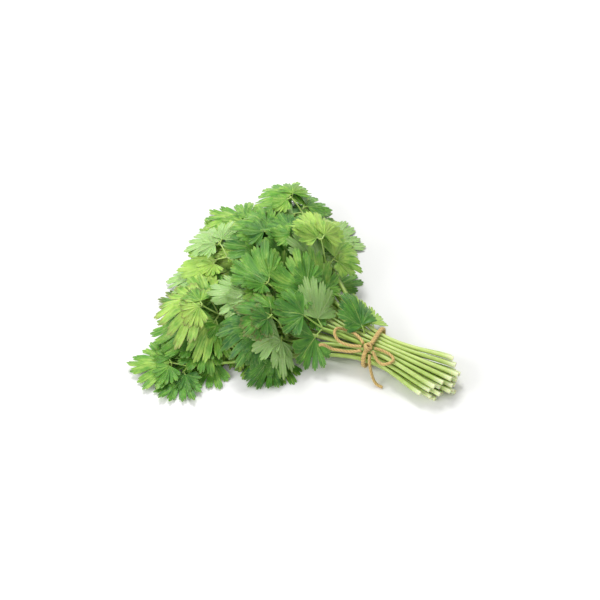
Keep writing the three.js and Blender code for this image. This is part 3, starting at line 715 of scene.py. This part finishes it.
def leaflet_of(stem, key, crown, heading, reach, length, spread, corners, tone=None):
    """A leaflet of a stem. The key is for its own draws, and reach is the length of its stalk."""
    number = stem["id"]
    base = crown[:2] + reach * np.array([math.cos(heading), math.sin(heading)])
    if tone is None:
        # Painted light: leaflets further out from the tie get a lighter tone.
        sunny = np.clip((-base[0] - SHADY_LENGTH) / SUNNY_LENGTH, 0, 1)
        tone = 0.6 * chance(number, 90) + 0.35 * chance(number, key + 55) + 0.28 * sunny
    leaflet = {
        "crown": crown,
        "base": base,
        "heading": heading,
        "length": length,
        "spread": spread,
        "width": between(number, key + 3, 0.92, 1.08),
        "shallow": chance(number, key + 8),
        "roundness": between(number, key + 50, 2.6, 4.5),
        "small_teeth": between(number, key + 51, 0.09, 0.15),
        "ripple": stem["loft"] * between(number, key + 52, 0.4, 1.0) + 0.15,
        "ripple_rate": between(number, key + 53, 0.3, 0.55),
        "ripple_start": chance(number, key + 54),
        "pleat": between(number, key + 57, 0.4, 1.0),
        "tone": tone,
        "lifts": [
            (0.4 + 1.5 * stem["loft"]) * between(number, key + 60 + lobe, -0.35, 1) for lobe in range(3)
        ],
        "cup": (0.3 + 0.8 * stem["loft"]) * between(number, key + 63, -1, 1.2),
        "pale": 1.0 if chance(number, key + 56) > 0.85 else 0.0,
        "dry": 1.0 if chance(number, key + 58) > 0.8 else 0.0,
    }
    known = solid_corners(leaflet)
    tops = solid_heights(corners, known, 0.02, np.max)
    return leaflet | {"height": thin_plate(known, tops), "neck_top": tops[:2].mean()}


def crown_leaflet(stem, side, crown, heading, corners):
    """One leaflet of a crown: side is 1 for the left, -1 for the right and 0 for the terminal one."""
    number = stem["id"]
    kind = "terminal" if side == 0 else "lateral"
    key = 10 * (side + 2)
    way = heading + side * between(number, key, 0.85, 1.1)
    reach = RACHIS_LENGTH if side == 0 else PETIOLULE_LENGTH * between(number, key + 1, 0.8, 1.3)
    length = stem["size"] * LEAFLET_LENGTH[kind] * between(number, key + 2, 0.88, 1.12)
    return leaflet_of(stem, key, crown, way, reach, length, 0.9 if side == 0 else 1, corners)


def small_leaflet(stem, parent, side):
    """A smaller leaflet that grows on one side of a leaflet's stalk, just above that leaflet's blade."""
    number, key = stem["id"], 70 + 10 * side + int(10 * abs(parent["heading"]))
    ahead = np.array([math.cos(parent["heading"]), math.sin(parent["heading"])])
    start = parent["base"] - 2 * ahead
    heading = parent["heading"] + side * between(number, key, 0.7, 1.35)

    def height(at):
        return parent["height"](at) + SMALL_LEAFLET_ABOVE

    root = np.append(start, parent["neck_top"] - CAD_BLADE / 2)
    base = start + SMALL_STALK * np.array([math.cos(heading), math.sin(heading)])
    return parent | {
        "crown": root, "base": base, "heading": heading, "height": height,
        "length": parent["length"] * between(number, key + 1, 0.42, 0.6),
        "neck_top": float(height(base[None])[0]),
        "shallow": chance(number, key + 2),
        "lifts": [SMALL_LIFT * between(number, key + 3 + lobe, -0.2, 1) for lobe in range(3)],
        "tone": 0.7 * parent["tone"] + 0.3 * chance(number, key + 6),
    }


# Two small leaves grow low on the top row's stems, almost from the tie, one young and yellowish and
# one dark. They are listed by row and place, with their distance from the tie, the turn off the
# stem, their length and tone. They are narrower than the solids' ones, to stay clear of the bow.
LOW_LEAVES = {(4, 5): (5, -0.45, 31, 1.0), (4, 3): (9, -0.5, 29, 0.25)}


SMALL_LEAFLET_ABOVE = 0.8
SMALL_STALK = 4
SMALL_LIFT = 2.2
SMALL_LEAFLETS = ((2, 1), (2, -1), (0, 1), (1, -1))  # the leaflet they grow on and the side
FIRST_ROW_SEEN = 2
SHORT_REACH = 50  # stems up to this long get none, to keep them clear of the bow
LOW_WIDTH = 0.72
STEM_SIDES = 18
STEM_RIBS = 9
STEM_RIB_RELIEF = 0.035
STEM_STEP = 2.5
PALE_END = 9


def stem_line(stem, corners, end):
    """The line of a stem: its cut end, its place in the tie and the solid's stations on the leafy side."""
    length = CUT_LENGTH - EDGE_SHORTER * (stem["across"] / HALF_WIDTH) ** 2 + between(stem["id"], 1, -4, 3)
    across = stem["across"] * (1 + CUT_FLARE) + between(stem["id"], 2, -0.7, 0.7)
    cut = [length, across, CUT_HEIGHT + stem["up"] * CUT_RISE]
    places = plan(stem, STATIONS * end)
    heights = solid_heights(corners, places, 1.7, np.mean)
    heights[0] = TIE_HEIGHT + stem["up"]
    return np.concatenate([[cut], np.concatenate([places, heights[:, None]], 1)])


def stem_shape(stem, line, end):
    """The stem: a tube through its line, with shallow ribs round it as a cosine of the angle."""
    path = smooth_path(line, STEM_STEP)
    share = np.clip(-path[:, 0] / end, 0, 1)
    radius = np.interp(path[:, 0], [-end, 0, line[0, 0]], [CROWN_RADIUS, TIE_RADIUS, CUT_RADIUS])
    angle = np.arange(STEM_SIDES)
    ribs = 1 + STEM_RIB_RELIEF * np.cos(angle * 2 * np.pi * STEM_RIBS / STEM_SIDES)
    cut = np.clip(1 - (path[0, 0] - path[:, 0]) / PALE_END, 0, 1)
    tone = chance(stem["id"], 90)
    return tube(path, radius[:, None] * ribs[None, :], STEM_SIDES, along=share, tone=tone, cut=cut)


# Fresh leaves: mid green with lighter veins and streaks, yellower where young, brownish at some tips, and
# paler underneath. Leaflets far out from the tie are made lighter through their tone, as painted light.
leaf, leaf_tree, leaf_shader = new_material("coriander_leaf")
leaf_uv = add_node(leaf_tree, "ShaderNodeSeparateXYZ", {0: add_node(
    leaf_tree, "ShaderNodeUVMap", uv_map="surface").outputs[0]})
leaf_tooth = sum_up(leaf_tree, "MULTIPLY_ADD", leaf_uv.outputs[0], TEETH, -LAST_TOOTH)
leaf_share = leaf_uv.outputs[1]
leaf_from_rib = sum_up(leaf_tree, "PINGPONG", leaf_tooth, 1.5)
leaf_width = sum_up(leaf_tree, "DIVIDE", 0.045, sum_up(leaf_tree, "ADD", leaf_share, 0.08))


def vein(start, end_tooth, strength):
    """A pair of side veins, from the lobe's rib at a share of the way out to a tooth at the rim."""
    on_way = sum_up(leaf_tree, "DIVIDE", sum_up(leaf_tree, "SUBTRACT", leaf_share, start), 1 - start)
    line = sum_up(leaf_tree, "MULTIPLY", sum_up(leaf_tree, "POWER", sum_up(
        leaf_tree, "MAXIMUM", on_way, 0.0), 0.75), end_tooth)
    apart = sum_up(leaf_tree, "ABSOLUTE", sum_up(leaf_tree, "SUBTRACT", leaf_from_rib, line))
    close = sum_up(leaf_tree, "SUBTRACT", 1.0, sum_up(leaf_tree, "DIVIDE", apart, leaf_width), clamp=True)
    past = sum_up(leaf_tree, "GREATER_THAN", on_way, 0.0)
    return sum_up(leaf_tree, "MULTIPLY", sum_up(leaf_tree, "MULTIPLY", close, past), strength)


leaf_veins = sum_up(leaf_tree, "SUBTRACT", 1.0, sum_up(
    leaf_tree, "DIVIDE", leaf_from_rib, sum_up(leaf_tree, "MULTIPLY", leaf_width, 1.5)), clamp=True)
SIDE_VEINS = ((0.25, 1.0, 0.8), (0.45, 0.62, 0.6), (0.12, 1.35, 0.6), (0.65, 0.3, 0.5))
for start, end_tooth, strength in SIDE_VEINS:
    leaf_veins = sum_up(leaf_tree, "MAXIMUM", leaf_veins, vein(start, end_tooth, strength))
leaf_patches, leaf_grain = patches(leaf_tree, 0.009, 0.0011)
leaf_tone = add_node(leaf_tree, "ShaderNodeAttribute", attribute_name="tone").outputs["Fac"]
leaf_under = add_node(leaf_tree, "ShaderNodeAttribute", attribute_name="under").outputs["Fac"]
leaf_pale = add_node(leaf_tree, "ShaderNodeAttribute", attribute_name="pale").outputs["Fac"]
leaf_back = sum_up(leaf_tree, "MAXIMUM", leaf_under, leaf_pale)
leaf_dry = add_node(leaf_tree, "ShaderNodeAttribute", attribute_name="dry").outputs["Fac"]
leaf_streak_place = add_node(leaf_tree, "ShaderNodeCombineXYZ", {
    0: sum_up(leaf_tree, "MULTIPLY", leaf_tooth, 1.6), 1: leaf_share,
    2: sum_up(leaf_tree, "MULTIPLY", leaf_tone, 20.0)})
leaf_streaks = add_node(leaf_tree, "ShaderNodeTexNoise", {
    "Vector": leaf_streak_place.outputs[0], "Scale": 1.6, "Detail": 2.0}).outputs["Fac"]
leaf_light = sum_up(leaf_tree, "ADD", leaf_tone, sum_up(leaf_tree, "ADD", sum_up(
    leaf_tree, "MULTIPLY_ADD", leaf_patches, 0.9, -0.45), sum_up(
    leaf_tree, "MULTIPLY_ADD", leaf_streaks, 0.9, -0.45)), clamp=True)
leaf_colour = blend_colours(leaf_tree, sum_up(
    leaf_tree, "MULTIPLY", leaf_light, 1.8, clamp=True), colour(30, 90, 34), colour(92, 152, 44))
leaf_colour = blend_colours(leaf_tree, sum_up(
    leaf_tree, "MULTIPLY_ADD", leaf_light, 2.2, -1.2, clamp=True), leaf_colour, colour(172, 208, 92))
leaf_colour = blend_colours(
    leaf_tree, sum_up(leaf_tree, "MULTIPLY", leaf_veins, 0.45), leaf_colour, colour(168, 204, 104))
leaf_underneath = blend_colours(
    leaf_tree, sum_up(leaf_tree, "MULTIPLY", leaf_veins, 0.6), colour(156, 196, 116),
    colour(206, 226, 162))
leaf_colour = blend_colours(leaf_tree, leaf_back, leaf_colour, leaf_underneath)
leaf_colour = blend_colours(
    leaf_tree, sum_up(leaf_tree, "MULTIPLY_ADD", leaf_grain, 0.5, -0.1, clamp=True), leaf_colour,
    blend_colours(leaf_tree, 0.6, leaf_colour, colour(40, 84, 24)))
leaf_tips = sum_up(leaf_tree, "MULTIPLY_ADD", leaf_share, 9.0, -8.0, clamp=True)
leaf_rim = sum_up(leaf_tree, "MULTIPLY", leaf_tips, sum_up(leaf_tree, "MULTIPLY_ADD", leaf_dry, 0.5, 0.12))
leaf_colour = blend_colours(leaf_tree, leaf_rim, leaf_colour, colour(128, 104, 72))
leaf_tree.links.new(leaf_colour, leaf_shader.inputs["Base Color"])
leaf_roughness = sum_up(leaf_tree, "MULTIPLY_ADD", leaf_grain, 0.25, 0.36)
leaf_tree.links.new(leaf_roughness, leaf_shader.inputs["Roughness"])
leaf_shader.inputs["Specular IOR Level"].default_value = 0.4
leaf_shader.inputs["Subsurface Weight"].default_value = 0.25
leaf_shader.inputs["Subsurface Radius"].default_value = (0.5, 1.0, 0.15)
leaf_shader.inputs["Subsurface Scale"].default_value = 0.0015
leaf_relief = sum_up(leaf_tree, "ADD", sum_up(leaf_tree, "MULTIPLY", leaf_veins, -0.8), sum_up(
    leaf_tree, "MULTIPLY", leaf_grain, 0.8))
leaf_bump = add_node(leaf_tree, "ShaderNodeBump", {
    "Height": leaf_relief, "Strength": 0.5, "Distance": 0.0005})
leaf_tree.links.new(leaf_bump.outputs[0], leaf_shader.inputs["Normal"])

# Stems are pale lime green and ribbed, with fine streaks along them. They are almost white at the
# cut and greener towards the leaves.
green_stem, stem_tree, stem_shader = new_material("coriander_stem")
stem_uv = add_node(stem_tree, "ShaderNodeSeparateXYZ", {0: add_node(
    stem_tree, "ShaderNodeUVMap", uv_map="surface").outputs[0]})
stem_round = sum_up(stem_tree, "MULTIPLY", stem_uv.outputs[1], 2 * math.pi)
stem_streak_place = add_node(stem_tree, "ShaderNodeCombineXYZ", {
    0: sum_up(stem_tree, "MULTIPLY", stem_uv.outputs[0], 0.03),
    1: sum_up(stem_tree, "COSINE", stem_round), 2: sum_up(stem_tree, "SINE", stem_round),
})
stem_streaks = add_node(stem_tree, "ShaderNodeTexNoise", {
    "Vector": stem_streak_place.outputs[0], "Scale": 5.0, "Detail": 3.0}).outputs["Fac"]
stem_patches, stem_grain = patches(stem_tree, 0.012, 0.0008)
stem_along = add_node(stem_tree, "ShaderNodeAttribute", attribute_name="along").outputs["Fac"]
stem_tone = add_node(stem_tree, "ShaderNodeAttribute", attribute_name="tone").outputs["Fac"]
stem_light = sum_up(stem_tree, "ADD", sum_up(stem_tree, "MULTIPLY", stem_tone, 0.5), sum_up(
    stem_tree, "MULTIPLY_ADD", stem_streaks, 1.2, -0.4), clamp=True)
stem_colour = blend_colours(stem_tree, stem_light, colour(150, 180, 74), colour(216, 230, 148))
stem_colour = blend_colours(
    stem_tree, sum_up(stem_tree, "MULTIPLY", stem_along, 0.45), stem_colour, colour(112, 166, 50))
stem_cut = add_node(stem_tree, "ShaderNodeAttribute", attribute_name="cut").outputs["Fac"]
stem_colour = blend_colours(
    stem_tree, sum_up(stem_tree, "MULTIPLY", stem_cut, 0.8), stem_colour, colour(236, 240, 200))
stem_tree.links.new(stem_colour, stem_shader.inputs["Base Color"])
stem_roughness = sum_up(stem_tree, "MULTIPLY_ADD", stem_patches, 0.2, 0.26)
stem_tree.links.new(stem_roughness, stem_shader.inputs["Roughness"])
stem_shader.inputs["Subsurface Weight"].default_value = 0.3
stem_shader.inputs["Subsurface Radius"].default_value = (0.6, 1.0, 0.2)
stem_shader.inputs["Subsurface Scale"].default_value = 0.002
stem_bump = add_node(stem_tree, "ShaderNodeBump", {
    "Height": sum_up(stem_tree, "ADD", stem_streaks, stem_grain), "Strength": 0.25, "Distance": 0.0003})
stem_tree.links.new(stem_bump.outputs[0], stem_shader.inputs["Normal"])

for order, stem in enumerate(lay_out()):
    name = f"leafy_stem_{order + 1:02d}"
    corners = (node_corners(name) - TIE) / MM
    end = stem["reach"] * -math.cos(heading_at(stem, stem["reach"]))
    line = stem_line(stem, corners, end)
    shape = stem_shape(stem, line, end)
    play = 0.2 + 0.08 * stem["row"]
    heading = heading_at(stem, end) + between(stem["id"], 3, -play, play)
    leaflets = [crown_leaflet(stem, side, line[-1], heading, corners) for side in (1, -1, 0)]
    if (stem["row"], stem["place"]) in LOW_LEAVES:
        start, turn, length, tone = LOW_LEAVES[stem["row"], stem["place"]]
        root = np.array([np.interp(start, -line[:, 0], line[:, axis]) for axis in range(3)])
        way = heading_at(stem, start) + turn
        low = leaflet_of(stem, LOW_KEY, root, way, LOW_STALK, length, 1, corners, tone)
        flat = {"lifts": [0, 0, 0], "cup": 0, "ripple": 0.1}
        leaflets.append(low | flat | {"width": LOW_WIDTH * low["width"]})
    if stem["row"] >= FIRST_ROW_SEEN and stem["reach"] > SHORT_REACH:
        leaflets += [small_leaflet(stem, leaflets[on], side) for on, side in SMALL_LEAFLETS]
    for leaflet in leaflets:
        shape.add(stalk_shape(leaflet, leaflet["crown"], corners)).add(blade_shape(leaflet))
    mesh_piece(name.replace("leafy", "coriander"), shape, [green_stem, leaf], "leaf", name)


# A plain pale floor and soft light all round, with lamps above the far left and the near left and a
# weak one above the near right.
floor_mesh = bpy.data.meshes.new("floor")
floor_mesh.from_pydata([(-3, -3, 0), (3, -3, 0), (3, 3, 0), (-3, 3, 0)], [], [(0, 1, 2, 3)])
floor = bpy.data.objects.new("floor", floor_mesh)
bpy.context.collection.objects.link(floor)
floor_paint, _, floor_shader = new_material("pale_floor")
floor_shader.inputs["Base Color"].default_value = (0.86, 0.86, 0.85, 1)
floor_shader.inputs["Roughness"].default_value = 0.8
floor_mesh.materials.append(floor_paint)

world = bpy.data.worlds.new("studio")
world.use_nodes = True
world.node_tree.nodes["Background"].inputs[0].default_value = (1, 1, 1, 1)
world.node_tree.nodes["Background"].inputs[1].default_value = 0.55
bpy.context.scene.world = world
bpy.context.scene.view_settings.view_transform = "Standard"
LIGHT_AIM = np.array([0, 0, 0.02])
LIGHTS = [
    ("soft_key", (-0.6, 0.7, 1.3), 0.6, 17), ("soft_fill", (0.9, -0.8, 1.0), 1.2, 2),
    ("soft_front", (-0.9, -1.0, 0.8), 0.9, 14),
]
for name, at, size, power in LIGHTS:
    light = bpy.data.lights.new(name, "AREA")
    light.size = size
    light.energy = power
    lamp = bpy.data.objects.new(name, light)
    lamp.location = at
    z = np.array(at) - LIGHT_AIM
    z /= np.linalg.norm(z)
    x = np.cross((0, 0, 1), z)
    x /= np.linalg.norm(x)
    lamp.rotation_euler = Matrix(np.stack([x, np.cross(z, x), z], 1)).to_euler()
    bpy.context.collection.objects.link(lamp)
